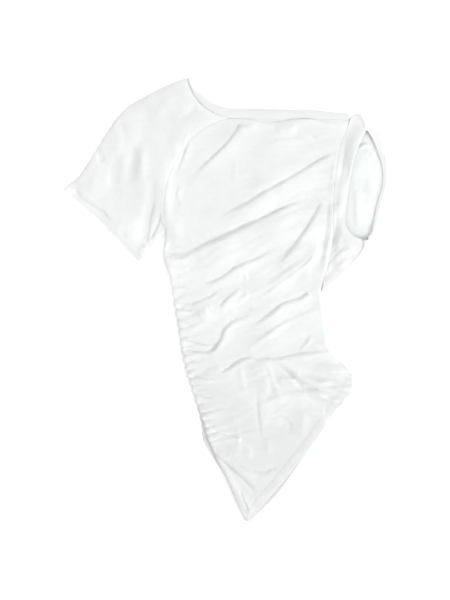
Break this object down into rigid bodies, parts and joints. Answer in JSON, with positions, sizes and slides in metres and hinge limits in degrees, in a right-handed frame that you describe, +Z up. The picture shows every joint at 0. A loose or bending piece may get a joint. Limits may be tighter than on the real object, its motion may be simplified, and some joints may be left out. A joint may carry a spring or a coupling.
{
  "type": "draped off-shoulder jersey t-shirt, laid flat",
  "caption": "White jersey top laid flat: one raglan sleeve, the other dropped off the shoulder, fan folds, a gathered side seam and a pointed hem.",
  "frame": {"origin": "under the middle of the outline, on the surface that the top lies on", "axes": "+Y from the hem's point to the neckline, +Z up off the surface, and the raglan sleeve on the -X side"},
  "size_m": [0.582, 0.7974, 0.0163],
  "materials": {
    "jersey": "soft matt white single jersey, with a faint sheen along the folds",
    "rib": "matt white rib knit"
  },
  "bodies": {
    "root": {"front_panel": "jersey", "back_panel": "jersey", "raglan_sleeve": "jersey", "dropped_sleeve": "jersey", "neckband": "rib"}
  },
  "joints": []
}
